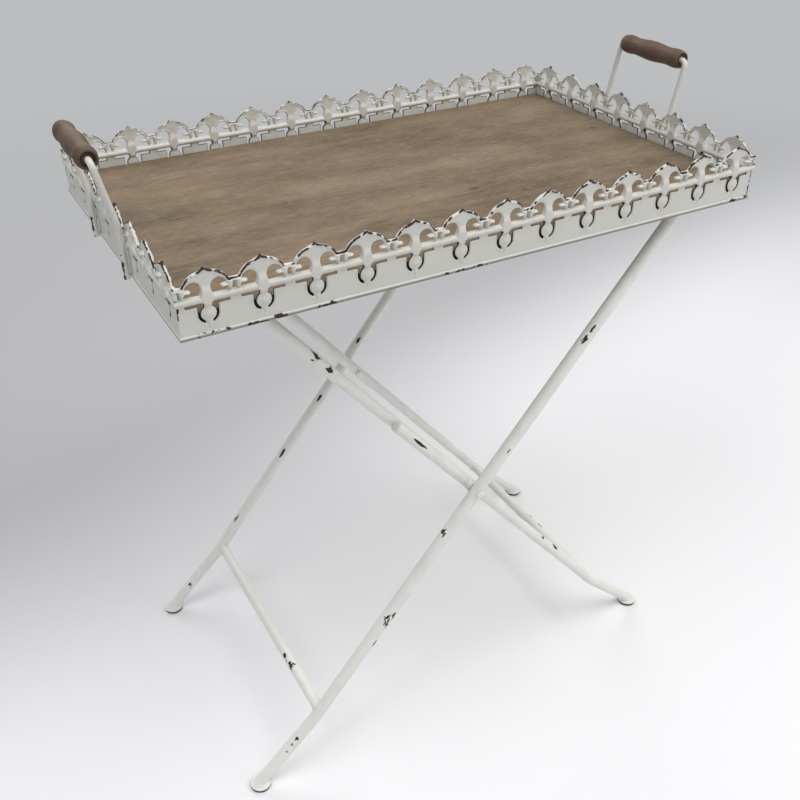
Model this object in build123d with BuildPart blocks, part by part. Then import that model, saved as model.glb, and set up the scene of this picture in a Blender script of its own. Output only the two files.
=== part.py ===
# Tray top end table: a pierced metal tray with a wooden floor, on a folding cross-legged tube stand.
# The origin is on the floor below the middle of the tray. X runs along the tray, Y across it, Z up.
from build123d import *
import math
import os

MM = 1.0

# Whole table
tray_length = 625.0 * MM
tray_width = 379.0 * MM
tray_bottom_height = 629.0 * MM
stand_pivot_height = 334.0 * MM
overrun = 10.0 * MM

# Clearances
seat_gap = 0.3 * MM
running_fit = 0.08 * MM
slip_fit = 0.1 * MM
cut_allowance = 0.05 * MM

# Pierced walls of the tray
wall_height = 61.5 * MM
wall_plate = 3.0 * MM
hem_diameter = 5.0 * MM
waist_bar_diameter = 6.4 * MM
waist_bar_height = 34.0 * MM
medallion_height = 21.0 * MM
medallion_radius = 7.0 * MM
medallion_gap = 2.0 * MM
arch_pitch = 48.0 * MM
long_wall_margin = 0.5 * MM
short_wall_margin = 2.7 * MM

# Wooden floor of the tray, and what holds it
board_thickness = 16.0 * MM
board_edge_gap = 0.5 * MM
board_edge_ease = 1.0 * MM
ledge_leaf = 12.0 * MM
ledge_sheet = 1.6 * MM
ledge_drop = 4.2 * MM
ledge_screw_inset = 60.0 * MM
screw_shank_diameter = 3.0 * MM
screw_head_diameter = 6.0 * MM
screw_head_height = 1.5 * MM
screw_bite = 9.0 * MM
stop_leaf = 14.0 * MM
stop_sheet = 2.0 * MM
stop_drop = 9.0 * MM

# Wire handles and turned grips
wire_diameter = 6.0 * MM
wire_spread = 108.6 * MM
wire_foot_lift = 1.0 * MM
wire_straight = 50.3 * MM
wire_lean_radius = 30.0 * MM
wire_corner_radius = 6.5 * MM
grip_lean = 13.6 * MM
grip_rise = 111.6 * MM
grip_length = 96.0 * MM
grip_barrel_diameter = 22.0 * MM
grip_waist_diameter = 19.0 * MM
grip_bead_diameter = 20.8 * MM
grip_end_diameter = 17.6 * MM
grip_dish_diameter = 13.5 * MM
grip_dish_depth = 2.8 * MM

# Tube stand
rail_inset = 67.7 * MM
outer_leg_inset = 24.1 * MM
frame_gap = 7.4 * MM
outer_tube_diameter = 14.0 * MM
inner_tube_diameter = 13.0 * MM
tube_wall = 1.5 * MM
crossbar_diameter = 12.7 * MM
crossbar_height = 85.0 * MM
leg_bend_height = 76.0 * MM
leg_bend_radius = 60.0 * MM
foot_turnout = 75.1 * MM
lower_leg_overlap = 141.0 * MM
upper_leg_overlap = 32.0 * MM
foot_disc_diameter = 24.5 * MM
foot_disc_thickness = 3.0 * MM
foot_disc_ease = 0.9 * MM
pad_diameter = 23.5 * MM
pad_thickness = 3.0 * MM
pad_ease = 0.6 * MM

# Pivot rivets and their spacer rings
rivet_diameter = 6.0 * MM
rivet_head_diameter = 10.0 * MM
rivet_head_height = 2.6 * MM
spacer_diameter = 12.5 * MM

# One arch, from its middle to the right: across as shares of the arch's width, up as shares of the height
arch_tip_shares = (0.0, 1.0)
arch_hollow_shares = (0.104, 0.953)
arch_shoulder_shares = (0.192, 0.93)
arch_bulge_shares = (0.323, 0.867)
arch_foot_shares = (0.415, 0.776)

# The opening beside a stem: each corner, then the point that its curve goes through, if it has one
stem_opening_shares = (
    ((0.4, 0.608), None),
    ((0.125, 0.608), None),
    ((0.087, 0.725), (0.215, 0.822)),
    ((0.365, 0.735), None),
)

# The slot under the waist bar, which runs into the crescent round the medallion
slot_outer_share = 0.4
slot_base_share = 0.458
slot_top_share = 0.495
crescent_neck_share = 0.075
crescent_foot_share = 0.07

# The turned profile of a grip: places along its half length
grip_waist_share = 0.54
grip_bead_share = 0.8
grip_end_share = 0.97

# Sizes that follow from the ones above
board_top = tray_bottom_height + hem_diameter + board_thickness
board_underside = board_top - board_thickness
wall_middle_x = tray_length / 2
wall_middle_y = tray_width / 2
wall_proud = max(hem_diameter, waist_bar_diameter) / 2
wire_x = wall_middle_x + wall_proud + seat_gap + wire_diameter / 2
grip_axis_x = wire_x + grip_lean
grip_axis_height = tray_bottom_height + grip_rise
rail_reach = wall_middle_x - rail_inset
rail_height = board_underside - seat_gap - outer_tube_diameter / 2
inner_rail_height = board_underside - seat_gap - inner_tube_diameter / 2
leg_slope = (rail_height - stand_pivot_height) / rail_reach
leg_angle = math.degrees(math.atan(leg_slope))
outer_leg_y = wall_middle_y - outer_leg_inset
inner_leg_y = outer_leg_y - (outer_tube_diameter + inner_tube_diameter) / 2 - frame_gap
upper_leg_y = inner_leg_y - inner_tube_diameter - seat_gap
leg_top = board_underside - seat_gap
foot_top = pad_thickness + foot_disc_thickness
foot_reach = (stand_pivot_height - leg_bend_height) / leg_slope + foot_turnout


def leg_reach(height):
    """Distance of a leg's straight line from the pivot, sideways, at a height above the floor."""
    return (height - stand_pivot_height) / leg_slope


def wall_spot(shares, middle, pitch, side):
    """A point of the wall's outline from its shares, to the right (1) or left (-1) of an arch's middle."""
    return (middle + side * shares[0] * pitch, shares[1] * wall_height)


def arch_middles(length, margin):
    """The middles of a wall's arches, and the width that each one takes."""
    count = round((length - 2 * margin) / arch_pitch)
    pitch = (length - 2 * margin) / count
    return [pitch * (place - (count - 1) / 2) for place in range(count)], pitch


def closed_run(corners):
    """Draws a closed line through corners, each with the point that the curve after it goes through."""
    for (start, through), (stop, _) in zip(corners, corners[1:] + corners[:1]):
        if through is None:
            Line(start, stop)
        else:
            ThreePointArc(start, through, stop)


def top_outline(middles, pitch, half_length):
    """The wall's outline: hem line, upright ends, and an arch with a pointed tip over each middle."""
    valley = arch_foot_shares[1] * wall_height
    base = hem_diameter / 2
    corners = [((-half_length, base), None), ((half_length, base), None), ((half_length, valley), None)]
    for middle in reversed(middles):
        foot, bulge, shoulder, hollow, tip = (
            wall_spot(shares, middle, pitch, 1)
            for shares in (arch_foot_shares, arch_bulge_shares, arch_shoulder_shares,
                           arch_hollow_shares, arch_tip_shares)
        )
        left_foot, left_bulge, left_shoulder, left_hollow = (
            wall_spot(shares, middle, pitch, -1)
            for shares in (arch_foot_shares, arch_bulge_shares, arch_shoulder_shares, arch_hollow_shares)
        )
        corners += [(foot, bulge), (shoulder, hollow), (tip, left_hollow),
                    (left_shoulder, left_bulge), (left_foot, None)]
    corners.append(((-half_length, valley), None))
    return corners


def stem_opening(middle, pitch, side):
    """The opening beside a stem: round at the top and flat on the waist bar."""
    return [
        (wall_spot(corner, middle, pitch, side),
         wall_spot(through, middle, pitch, side) if through else None)
        for corner, through in stem_opening_shares
    ]


def medallion_opening(middle, pitch, side):
    """The slot under the waist bar, joined to the crescent that goes round one side of the medallion."""
    neck = crescent_neck_share * pitch
    foot = crescent_foot_share * pitch
    ring = medallion_radius + medallion_gap
    slot_base = slot_base_share * wall_height
    slot_top = slot_top_share * wall_height
    slot_end = middle + side * slot_outer_share * pitch

    def spot(across, radius, way):
        return (middle + side * across, medallion_height + way * math.sqrt(radius**2 - across**2))

    half_turn = math.sqrt(0.5) * ring
    return [
        (spot(neck, medallion_radius, 1), (middle + side * medallion_radius, medallion_height)),
        (spot(foot, medallion_radius, -1), None),
        (spot(foot, ring, -1), spot(half_turn, ring, -1)),
        ((middle + side * ring, medallion_height), None),
        ((middle + side * ring, slot_base), None),
        ((slot_end, slot_base), None),
        ((slot_end, slot_top), None),
        ((middle + side * neck, slot_top), None),
    ]


def drawn(face, corners):
    """A closed line on a plane, as a wire."""
    with BuildLine(face) as run:
        closed_run(corners)
    return run.wire()


def gallery_wall(face, length, margin):
    """One wall on its upright middle plane: pierced plate, rolled hem and waist bar, with mitred ends."""
    middles, pitch = arch_middles(length, margin)
    half_length = length / 2 + wall_proud
    openings = [
        drawn(face, opening(middle, pitch, side))
        for opening in (stem_opening, medallion_opening)
        for middle in middles
        for side in (-1, 1)
    ]
    pierced = Face(drawn(face, top_outline(middles, pitch, half_length)), openings)
    start = Plane(
        origin=face.from_local_coords((-half_length, 0, 0)),
        x_dir=face.z_dir * -1,
        z_dir=face.x_dir,
    )
    with BuildPart() as wall:
        extrude(pierced, amount=wall_plate / 2, both=True)
        with BuildSketch(start):
            with Locations((0, hem_diameter / 2)):
                Circle(hem_diameter / 2)
            with Locations((0, waist_bar_height)):
                Circle(waist_bar_diameter / 2)
        extrude(amount=2 * half_length)
        for side in (-1, 1):
            mitre = Plane(
                origin=face.from_local_coords((side * (length - seat_gap) / 2, 0, 0)),
                x_dir=face.y_dir,
                z_dir=face.x_dir * side - face.z_dir,
            )
            split(bisect_by=mitre, keep=Keep.BOTTOM)
    return wall.part


def wall_plane(turns):
    """The upright middle plane of a wall, by quarter turns from the front wall, facing outwards."""
    out = Vector(0, -1, 0).rotate(Axis.Z, 90 * turns)
    along = Vector(1, 0, 0).rotate(Axis.Z, 90 * turns)
    reach = wall_middle_x if turns % 2 else wall_middle_y
    return Plane(origin=out * reach + Vector(0, 0, tray_bottom_height), x_dir=along, z_dir=out)


def straight_leg(side, y, height):
    """A point on the straight line of a leg that rises towards side (1 right, -1 left)."""
    return Vector(side * leg_reach(height), y, height)


def leg_line(side, y, top_height):
    """A whole leg's middle line: straight from the top, with its foot turned outwards."""
    bend = straight_leg(side, y, leg_bend_height)
    foot = Vector(-side * foot_reach, y, foot_top)
    below = foot + (foot - bend).normalized() * overrun
    with BuildLine() as line:
        FilletPolyline(straight_leg(side, y, top_height), bend, below, radius=leg_bend_radius)
    return line.wire()


def tube_along(path, diameter):
    """Sweeps a tube's ring section along a path."""
    start = Plane(origin=path @ 0, z_dir=path % 0)
    with BuildSketch(start) as ring:
        Circle(diameter / 2)
        Circle(diameter / 2 - tube_wall, mode=Mode.SUBTRACT)
    sweep(sections=ring.sketch, path=path)


def pivot_hole():
    """Drills the tubes across for the pivot rivet."""
    with BuildSketch(Plane.XZ) as hole:
        with Locations((0, stand_pivot_height)):
            Circle(rivet_diameter / 2 + running_fit)
    extrude(hole.sketch, amount=wall_middle_y, both=True, mode=Mode.SUBTRACT)


def cross_tube(x, height, diameter, leg_y, leg_side, leg_diameter):
    """A tube from leg to leg along Y, its ends hollowed to the round of the legs."""
    with BuildPart() as tube:
        with BuildSketch(Plane.XZ):
            with Locations((x, height)):
                Circle(diameter / 2)
                Circle(diameter / 2 - tube_wall, mode=Mode.SUBTRACT)
        extrude(amount=leg_y, both=True)
        for end in (-1, 1):
            lower = straight_leg(leg_side, end * leg_y, height - 2 * diameter)
            upper = straight_leg(leg_side, end * leg_y, height + 2 * diameter)
            with BuildSketch(Plane(origin=lower, z_dir=upper - lower)):
                Circle(leg_diameter / 2 + seat_gap)
            extrude(amount=(upper - lower).length, mode=Mode.SUBTRACT)
    return keep_middle(tube.part)


def keep_middle(shape):
    """The largest solid of a shape, without the crumbs that a hollowed end leaves beyond the leg."""
    return Part() + max(shape.solids(), key=lambda solid: solid.volume)


def foot_pieces(x, y):
    """A foot's metal disc and the rubber pad under it."""
    with BuildPart() as disc:
        with BuildSketch(Plane.XY.offset(pad_thickness)):
            with Locations((x, y)):
                Circle(foot_disc_diameter / 2)
        extrude(amount=foot_disc_thickness)
        chamfer(disc.edges().filter_by(GeomType.CIRCLE), length=foot_disc_ease)
    with BuildPart() as pad:
        with BuildSketch():
            with Locations((x, y)):
                Circle(pad_diameter / 2)
        extrude(amount=pad_thickness)
        chamfer(pad.faces().sort_by(Axis.Z)[0].edges(), length=pad_ease)
    return disc.part, pad.part


def turned(face_plane, profile):
    """Revolves a closed half profile, given as distance along and away from the X axis of its plane."""
    with BuildSketch(face_plane) as half:
        with BuildLine():
            Polyline(*profile, close=True)
        make_face()
    revolve(half.sketch, axis=Axis(face_plane.origin, face_plane.x_dir))


def angle_strip(middle, along, inward, length, leaf, drop, sheet):
    """An L strip whose flat leaf lies under the board and whose other leaf hangs at its outer edge."""
    section = Plane(origin=middle - along * (length / 2), x_dir=inward, z_dir=along)
    rise = section.y_dir.Z
    with BuildSketch(section) as angle:
        with BuildLine():
            Polyline(
                (0, 0),
                (leaf, 0),
                (leaf, -sheet * rise),
                (sheet, -sheet * rise),
                (sheet, -drop * rise),
                (0, -drop * rise),
                close=True,
            )
        make_face()
    extrude(angle.sketch, amount=length)


pieces = {}

# Four walls, each on its own middle plane
for name, turns, length, margin in (
    ("front_gallery_wall", 0, tray_length, long_wall_margin),
    ("right_gallery_wall", 1, tray_width, short_wall_margin),
    ("back_gallery_wall", 2, tray_length, long_wall_margin),
    ("left_gallery_wall", 3, tray_width, short_wall_margin),
):
    pieces[name] = gallery_wall(wall_plane(turns), length, margin)

# Where the board's screws go, under the long walls
ledge_y = wall_middle_y - hem_diameter / 2 - seat_gap
ledge_x = wall_middle_x - hem_diameter / 2 - seat_gap
screw_y = ledge_y - ledge_leaf / 2
screw_x = ledge_x - ledge_screw_inset
screw_places = [(x, y) for x in (-screw_x, screw_x) for y in (-screw_y, screw_y)]

# Wooden floor of the tray
with BuildPart() as board:
    with BuildSketch(Plane.XY.offset(board_underside)):
        Rectangle(tray_length - wall_plate - 2 * board_edge_gap, tray_width - wall_plate - 2 * board_edge_gap)
    extrude(amount=board_thickness)
    chamfer(board.faces().sort_by(Axis.Z)[-1].edges(), length=board_edge_ease)
    with BuildSketch(Plane.XY.offset(board_underside)):
        with Locations(*screw_places):
            Circle(screw_shank_diameter / 2 + cut_allowance)
    extrude(amount=screw_bite + cut_allowance, mode=Mode.SUBTRACT)
pieces["wood_board"] = board.part

# Angle strips that carry the board, one along each wall
for name, out, along, reach, length in (
    ("front_board_ledge", Vector(0, -1, 0), Vector(1, 0, 0), ledge_y, 2 * ledge_x),
    ("back_board_ledge", Vector(0, 1, 0), Vector(-1, 0, 0), ledge_y, 2 * ledge_x),
    ("left_board_ledge", Vector(-1, 0, 0), Vector(0, -1, 0), ledge_x, 2 * (ledge_y - ledge_leaf - seat_gap)),
    ("right_board_ledge", Vector(1, 0, 0), Vector(0, 1, 0), ledge_x, 2 * (ledge_y - ledge_leaf - seat_gap)),
):
    with BuildPart() as ledge:
        angle_strip(out * reach + Vector(0, 0, board_underside), along, out * -1, length,
                    ledge_leaf, ledge_drop, ledge_sheet)
        if abs(out.Y) > 0:
            with BuildSketch(Plane.XY.offset(board_underside)):
                with Locations(*[place for place in screw_places if place[1] * out.Y > 0]):
                    Circle(screw_shank_diameter / 2 + slip_fit)
            extrude(amount=-ledge_sheet, mode=Mode.SUBTRACT)
    pieces[name] = ledge.part

# Cross strips under the board, just outside the tops of the stand's legs, which keep it from spreading
for name, side, tube_diameter in (
    ("left_spread_stop", -1, inner_tube_diameter),
    ("right_spread_stop", 1, outer_tube_diameter),
):
    leg_end = leg_reach(leg_top) + tube_diameter / 2 / math.sin(math.radians(leg_angle))
    stop_x = side * (leg_end + seat_gap)
    with BuildPart() as stop:
        angle_strip(Vector(stop_x, 0, board_underside), Vector(0, side, 0), Vector(side, 0, 0),
                    2 * (ledge_y - ledge_leaf - seat_gap), stop_leaf, stop_drop, stop_sheet)
    pieces[name] = stop.part

# Screws up through the long ledges into the board
with BuildPart() as screws:
    with BuildSketch(Plane.XY.offset(board_underside - ledge_sheet - screw_head_height)):
        with Locations(*screw_places):
            Circle(screw_head_diameter / 2)
    extrude(amount=screw_head_height)
    with BuildSketch(Plane.XY.offset(board_underside - ledge_sheet)):
        with Locations(*screw_places):
            Circle(screw_shank_diameter / 2)
    extrude(amount=ledge_sheet + screw_bite)
pieces["board_screws"] = screws.part

# Wire handles outside the short walls, and a turned grip on each
for side, name in ((-1, "left"), (1, "right")):
    half = wire_spread / 2
    foot_height = tray_bottom_height + wire_foot_lift
    lean_height = tray_bottom_height + wire_straight
    with BuildPart() as wire:
        with BuildLine() as run:
            FilletPolyline(
                (side * wire_x, -half, foot_height),
                (side * wire_x, -half, lean_height),
                (side * grip_axis_x, -half, grip_axis_height),
                (side * grip_axis_x, half, grip_axis_height),
                (side * wire_x, half, lean_height),
                (side * wire_x, half, foot_height),
                radius=[wire_lean_radius, wire_corner_radius, wire_corner_radius, wire_lean_radius],
            )
        path = run.wire()
        with BuildSketch(Plane(origin=path @ 0, z_dir=path % 0)) as section:
            Circle(wire_diameter / 2)
        sweep(sections=section.sketch, path=path)
    pieces[f"{name}_handle_wire"] = wire.part

    end = grip_length / 2
    bore = wire_diameter / 2 + running_fit
    with BuildPart() as grip:
        with BuildSketch(Plane(origin=(side * grip_axis_x, 0, grip_axis_height), x_dir=(0, 1, 0),
                               z_dir=(-1, 0, 0))) as outline:
            with BuildLine():
                half_profile = [
                    (0, grip_barrel_diameter / 2),
                    (end * grip_waist_share, grip_waist_diameter / 2),
                    (end * grip_bead_share, grip_bead_diameter / 2),
                    (end * grip_end_share, grip_end_diameter / 2),
                ]
                mirrored = [(-along, away) for along, away in reversed(half_profile[1:])]
                Spline(*mirrored, *half_profile)
                Polyline(half_profile[-1], (end, grip_dish_diameter / 2), (end - grip_dish_depth, bore),
                         (grip_dish_depth - end, bore), (-end, grip_dish_diameter / 2), mirrored[0])
            make_face()
        revolve(axis=Axis((side * grip_axis_x, 0, grip_axis_height), (0, 1, 0)))
    pieces[f"{name}_wooden_grip"] = grip.part

# Outer frame of the stand: feet on the left, top tube on the right
for name, end in (("front", -1), ("back", 1)):
    with BuildPart() as leg:
        tube_along(leg_line(1, end * outer_leg_y, leg_top + overrun), outer_tube_diameter)
        pivot_hole()
        split(bisect_by=Plane.XY.offset(foot_top), keep=Keep.TOP)
        split(bisect_by=Plane.XY.offset(leg_top), keep=Keep.BOTTOM)
    pieces[f"{name}_outer_leg"] = leg.part
    disc, pad = foot_pieces(-foot_reach, end * outer_leg_y)
    pieces[f"{name}_left_foot_disc"] = disc
    pieces[f"{name}_left_foot_pad"] = pad
pieces["outer_top_tube"] = cross_tube(rail_reach, rail_height, outer_tube_diameter,
                                      outer_leg_y, 1, outer_tube_diameter)
pieces["outer_crossbar"] = cross_tube(leg_reach(crossbar_height), crossbar_height, crossbar_diameter,
                                      outer_leg_y, 1, outer_tube_diameter)

# Inner frame: feet on the right, and a narrower upper part beside the lower legs
cap_height = stand_pivot_height + lower_leg_overlap * math.sin(math.radians(leg_angle))
upper_foot_height = stand_pivot_height - upper_leg_overlap * math.sin(math.radians(leg_angle))
for name, end in (("front", -1), ("back", 1)):
    with BuildPart() as leg:
        tube_along(leg_line(-1, end * inner_leg_y, cap_height), inner_tube_diameter)
        pivot_hole()
        split(bisect_by=Plane.XY.offset(foot_top), keep=Keep.TOP)
    pieces[f"{name}_inner_lower_leg"] = leg.part
    with BuildPart() as leg:
        with BuildLine() as line:
            Line(straight_leg(-1, end * upper_leg_y, upper_foot_height),
                 straight_leg(-1, end * upper_leg_y, leg_top + overrun))
        tube_along(line.wire(), inner_tube_diameter)
        pivot_hole()
        split(bisect_by=Plane.XY.offset(leg_top), keep=Keep.BOTTOM)
    pieces[f"{name}_inner_upper_leg"] = leg.part
    disc, pad = foot_pieces(foot_reach, end * inner_leg_y)
    pieces[f"{name}_right_foot_disc"] = disc
    pieces[f"{name}_right_foot_pad"] = pad
pieces["inner_top_tube"] = cross_tube(-leg_reach(inner_rail_height), inner_rail_height, inner_tube_diameter,
                                      upper_leg_y, -1, inner_tube_diameter)
pieces["inner_crossbar"] = cross_tube(-leg_reach(crossbar_height), crossbar_height, crossbar_diameter,
                                      inner_leg_y, -1, inner_tube_diameter)

# A rivet through each pair of legs, with a spacer ring between the two frames
head_out = outer_leg_y + outer_tube_diameter / 2 + seat_gap
head_in = upper_leg_y - inner_tube_diameter / 2 - seat_gap
for name, end in (("front", -1), ("back", 1)):
    across = Plane(origin=(0, 0, stand_pivot_height), x_dir=(0, end, 0), z_dir=(-end, 0, 0))
    shank = rivet_diameter / 2
    head = rivet_head_diameter / 2
    with BuildPart() as rivet:
        turned(across, [
            (head_in - rivet_head_height, 0),
            (head_in - rivet_head_height, shank),
            (head_in - rivet_head_height / 2, head),
            (head_in, head),
            (head_in, shank),
            (head_out, shank),
            (head_out, head),
            (head_out + rivet_head_height / 2, head),
            (head_out + rivet_head_height, shank),
            (head_out + rivet_head_height, 0),
        ])
    pieces[f"{name}_pivot_rivet"] = rivet.part
    with BuildPart() as spacer:
        turned(across, [
            (inner_leg_y + inner_tube_diameter / 2 + seat_gap, shank + running_fit),
            (inner_leg_y + inner_tube_diameter / 2 + seat_gap, spacer_diameter / 2),
            (outer_leg_y - outer_tube_diameter / 2 - seat_gap, spacer_diameter / 2),
            (outer_leg_y - outer_tube_diameter / 2 - seat_gap, shank + running_fit),
        ])
    pieces[f"{name}_pivot_spacer"] = spacer.part

os.makedirs("parts", exist_ok=True)
for name, piece in pieces.items():
    piece.label = name
    export_step(piece, f"parts/{name}.step")
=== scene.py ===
"""Dresses the tray top end table: pierced gallery, wooden floor, turned grips and a chipped tube stand."""

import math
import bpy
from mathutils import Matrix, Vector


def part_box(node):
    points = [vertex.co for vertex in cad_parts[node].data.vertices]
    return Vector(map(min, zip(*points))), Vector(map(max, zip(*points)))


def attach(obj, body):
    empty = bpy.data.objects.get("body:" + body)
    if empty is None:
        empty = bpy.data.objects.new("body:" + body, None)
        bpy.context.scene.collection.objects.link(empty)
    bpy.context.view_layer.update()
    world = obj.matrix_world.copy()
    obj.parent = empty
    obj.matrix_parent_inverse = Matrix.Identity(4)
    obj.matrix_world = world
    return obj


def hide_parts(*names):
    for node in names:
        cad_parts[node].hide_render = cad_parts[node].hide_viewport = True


bl_info = {
    "name": "Tray Top End Table",
    "version": (1, 0, 0),
    "blender": (4, 5, 0),
    "location": "View3D > Sidebar > Tray Table",
    "description": "Builds the fine surfaces and finishes of a folding tray table in a plain studio",
    "category": "Object",
}

import bmesh
import bpy
import numpy as np
from bpy.props import FloatProperty, FloatVectorProperty, IntProperty, PointerProperty
from mathutils import Matrix, Vector

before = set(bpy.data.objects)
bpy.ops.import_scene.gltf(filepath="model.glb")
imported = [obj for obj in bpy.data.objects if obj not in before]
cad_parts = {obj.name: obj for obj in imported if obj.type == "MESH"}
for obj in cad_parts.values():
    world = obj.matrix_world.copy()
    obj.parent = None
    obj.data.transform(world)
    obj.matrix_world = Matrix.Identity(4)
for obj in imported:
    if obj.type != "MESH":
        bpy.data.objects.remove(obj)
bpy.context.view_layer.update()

MM = 0.001
FULL_TURN = 2 * math.pi

# The walls and the board as the frame has them: the walls' height, place and half thickness
FRONT_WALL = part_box("front_gallery_wall")
RIGHT_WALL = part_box("right_gallery_wall")
WALL_HEIGHT = FRONT_WALL[1].z - FRONT_WALL[0].z
WALL_BASE = FRONT_WALL[0].z
HALF_WIDTH = -(FRONT_WALL[0].y + FRONT_WALL[1].y) / 2
HALF_LENGTH = (RIGHT_WALL[0].x + RIGHT_WALL[1].x) / 2
WALL_PROUD = (FRONT_WALL[1].y - FRONT_WALL[0].y) / 2
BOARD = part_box("wood_board")

# Directions of the legs that rise and fall to the right, and how far their paint's streaks lean
RISING = (0.6416, 0.0, 0.7671)
FALLING = (-0.6416, 0.0, 0.7671)
LEG_LEAN = math.radians(50.1)
ALONG, ACROSS, UPRIGHT = (1.0, 0.0, 0.0), (0.0, 1.0, 0.0), (0.0, 0.0, 1.0)


def chips(direction, *rows):
    """Large chips in the paint along one direction. A row holds a place, half the length and half the width,
    in millimetres."""
    return [(tuple(MM * part for part in row[:3]), direction, MM * row[3], MM * row[4]) for row in rows]


RISING_CHIPS = chips(
    RISING,
    (131.1, -170.0, 499.0, 12, 2.4),
    (35.6, -171.9, 380.5, 5, 1.5),
    (-42.4, -165.8, 294.2, 6, 2.9),
    (-117.5, -172.1, 196.8, 10, 5),
    (-137.7, -172.1, 166.1, 5, 2.6),
    (-241.0, -170.8, 58.6, 3.2, 3),
    (-249.4, -169.9, 51.9, 2.2, 2),
    (-256.2, -170.8, 44.4, 2.2, 2),
    (16.0, 160.2, 360.5, 8, 2),
    (-44.0, 159.9, 288.2, 7, 2.4),
    (-104.8, 160.7, 216.8, 7, 2),
    (-182.9, 164.2, 126.1, 8, 1.8),
    (-264.8, 161.6, 38.4, 3.4, 2.8),
)
FALLING_CHIPS = chips(
    FALLING,
    (-174.7, -136.6, 548.4, 8, 3.2),
    (-160.2, -137.4, 528.7, 8, 3),
    (-66.5, -150.7, 416.0, 13, 1.3),
    (118.7, -148.2, 200.4, 2.6, 2.2),
    (141.1, -147.3, 174.4, 4.5, 2.6),
)
CROSS_CHIPS = chips(
    ACROSS,
    (-212.8, -72.7, 89.5, 4.5, 2.4),
    (-212.6, -89.5, 89.6, 9, 3.4),
    (212.0, -5.0, 90.0, 4, 2.2),
    (212.0, -30.0, 90.0, 6, 1.8),
)
HEM_CHIPS = chips(
    ALONG,
    (-294.8, -191.5, 634.0, 7, 3.4),
    (-280.0, -191.5, 633.5, 9, 1.7),
    (-229.9, -191.9, 632.0, 7, 4),
    (-248.0, -191.9, 631.0, 12, 1.5),
    (-183.0, -191.9, 631.0, 13, 1.7),
    (-46.0, -191.6, 631.0, 20, 1.8),
    (295.0, -191.5, 632.0, 12, 1.6),
    (310.7, -191.0, 634.0, 4, 4),
)
WIRE_CHIPS = chips(
    UPRIGHT,
    (-321.5, -56.0, 640.0, 14, 1.7),
    (-321.5, 52.7, 643.0, 12, 1.5),
)

# Small knots of the wooden floor: place and radius
BOARD_KNOTS = (
    ((0.0467, -0.0660, BOARD[1].z), 4.6 * MM),
    ((0.0913, -0.0947, BOARD[1].z), 3.4 * MM),
    ((0.1903, -0.0352, BOARD[1].z), 2.2 * MM),
    ((0.2815, 0.0322, BOARD[1].z), 2.4 * MM),
)

# Places of one arch in shares: across of its width from its middle, up of the wall's height
ARCH_TIP_SHARES = (0.0, 1.0)
ARCH_HOLLOW_SHARES = (0.104, 0.953)
ARCH_SHOULDER_SHARES = (0.192, 0.93)
ARCH_BULGE_SHARES = (0.323, 0.867)
ARCH_FOOT_SHARES = (0.415, 0.776)

# Millimetres from an arch's middle and from the wall's base
WINDOW_BASE, WINDOW_SPRING = 37.4, 44.3
WINDOW_MIDDLE, WINDOW_HALF, WINDOW_RISE = 10.85, 6.65, 6.1
STEM_HALF, STEM_FLARE = 4.0, 1.7
PETAL_ROOT, PETAL_TIP = (18.7, 43.0), (13.9, 42.5)
PETAL_ROOT_RADIUS, PETAL_TIP_RADIUS = 1.6, 1.4
BUD_SLOT_TOP, BUD_SLOT_HALF_TOP, BUD_SLOT_HALF_BASE = 44.4, 1.2, 2.5
BUD_FOOT, LEAF_START = 20.3, 16.6
LIP_BASE, LIP_START, LIP_END = 44.9, 20.0, 21.4
STRAP_FOOT, STRAP_SWELL, STRAP_SHRINK, STRAP_HEAD = 26.8, 29.6, 39.5, 47.0
MEDALLION_Z, MEDALLION_RADIUS, CRESCENT_RADIUS = 21.0, 6.6, 9.1
NECK_HALF, CRESCENT_FOOT_HALF = 3.8, 3.2
SLOT_BASE, SLOT_TOP, SLOT_END = 28.2, 31.2, 19.2
POINT_BASE, POINT_TOP, POINT_HALF, POINT_HEAD = 9.8, 13.6, 2.6, 15.0

# How far the cast ornament stands out, and how far its edges fall back, in millimetres
LEAF_RELIEF, LIP_RELIEF, BRIM_RELIEF, BROW_RELIEF, POINT_RELIEF = 1.9, 0.95, 0.5, 0.75, 0.8
DOME_RIM, DOME_RISE, DOME_RING, RING_RADIUS, RING_WIDTH = 0.6, 1.2, 0.6, 3.9, 0.6
EDGE_FALL, EDGE_WIDTH = 0.45, 0.8

# Heights that bound the paint's wear along the arches' outline, at their tips and at the corners, and below
# which the cut faces are darkened by painted shade
OUTLINE_BASE, TIP_BASE, CORNER_TOP, CUT_TOP = 44.0, 54.0, 40.0, 34.4

# A wall's grid of faces: heights where its bands meet, rows in each band, and what stands over the arches
BAND_HEIGHTS = (9.0, 27.0, WINDOW_BASE, 48.0)
BAND_ROWS = (3, 20, 13, 16, 17)
GRID_SPARE = 0.6

# A grip's outline: shares of its half length, how far its end falls in, and the rings of its dish
WAIST_SHARE, BEAD_SHARE, LIP_SHARE = 0.56, 0.8, 0.93
END_FALL, DISH_STEP = 0.9 * MM, 0.4 * MM
DISH_SHARES = (0.965, 0.95, 0.955, 0.955, 0.945, 0.945)
DISH_RADII = (5.6 * MM, 5.2 * MM, 4.6 * MM, 4.3 * MM)

# Angles, in degrees, from which an edge stays sharp
PLATE_CREASE, GRIP_CREASE, FITTING_CREASE = 35.0, 50.0, 60.0

# Feet, rivets, tube plugs and welds
FOOT_EDGE_SHARE, PAD_EDGE_SHARE = 0.4, 0.25
FOOT_WELD, BAR_WELD = 1.5 * MM, 1.3 * MM
RIVET_DOME, RIVET_CORE = 2.6 * MM, 3 * MM
PLUG_SEAT, PLUG_DOME, PLUG_GAP, PLUG_LIP = 4 * MM, 2.2 * MM, 1.2 * MM, 0.1 * MM

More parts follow.
